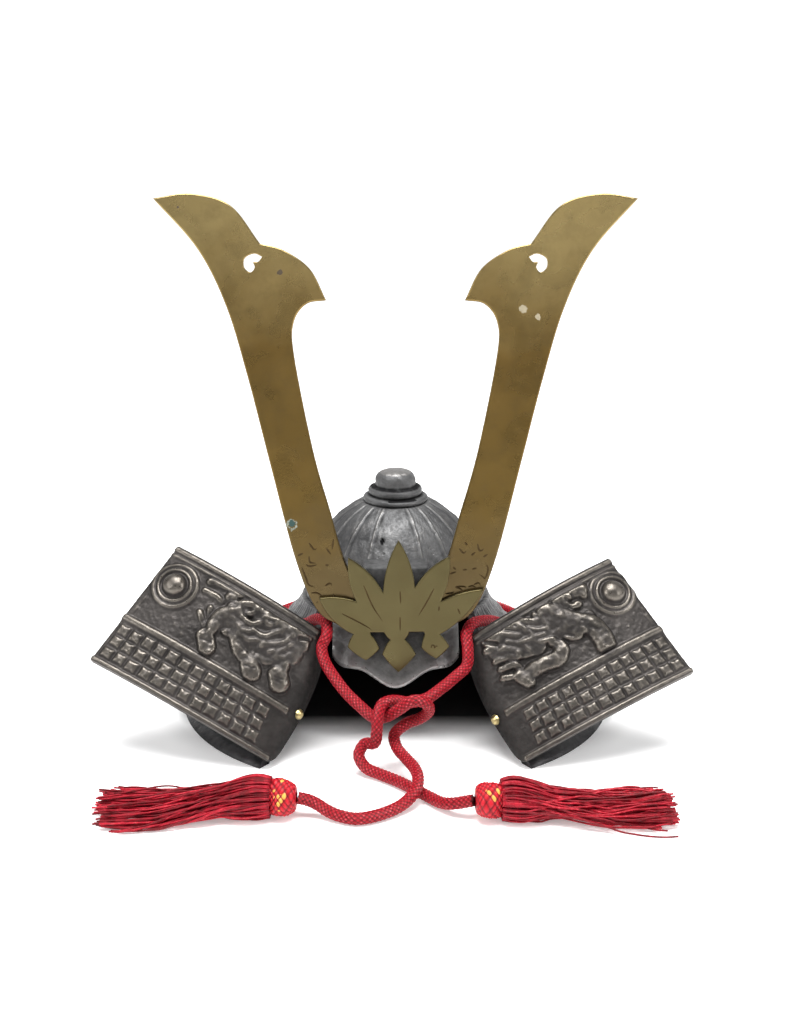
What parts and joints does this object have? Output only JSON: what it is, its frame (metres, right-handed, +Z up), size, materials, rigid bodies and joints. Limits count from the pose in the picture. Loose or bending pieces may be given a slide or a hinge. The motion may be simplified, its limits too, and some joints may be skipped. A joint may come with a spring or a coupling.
{
  "type": "samurai helmet ornament",
  "caption": "Cast-metal kabuto ornament: ribbed bowl, flared neck guard, turned-back relief wings, tall brass horns, leaf crest, and a knotted red cord with tassels.",
  "frame": {"origin": "on the table, under the middle of the helmet without its cord and tassels", "axes": "+Z up, the front faces -Y, the wings point to -X and +X"},
  "size_m": [0.2522, 0.2367, 0.2279],
  "materials": {
    "bowl": "dark worn casting",
    "crown_knob": "dark worn casting",
    "peak": "dark worn casting",
    "neck_guard": "dark worn casting",
    "wing_left": "dark worn casting",
    "wing_right": "dark worn casting",
    "rivet_left": "aged satin brass",
    "rivet_right": "aged satin brass",
    "horn_left": "aged satin brass",
    "horn_right": "aged satin brass",
    "crest": "aged satin brass",
    "cord": "red braided or twisted thread",
    "tassel_left": "red braided or twisted thread",
    "tassel_right": "red braided or twisted thread"
  },
  "bodies": {
    "root": {"bowl": "bowl", "crown_knob": "crown_knob", "peak": "peak", "neck_guard": "neck_guard", "wing_left": "wing_left", "wing_right": "wing_right", "rivet_left": "rivet_left", "rivet_right": "rivet_right", "horn_left": "horn_left", "horn_right": "horn_right", "crest": "crest", "cord": "cord", "tassel_left": "tassel_left", "tassel_right": "tassel_right"}
  },
  "joints": []
}
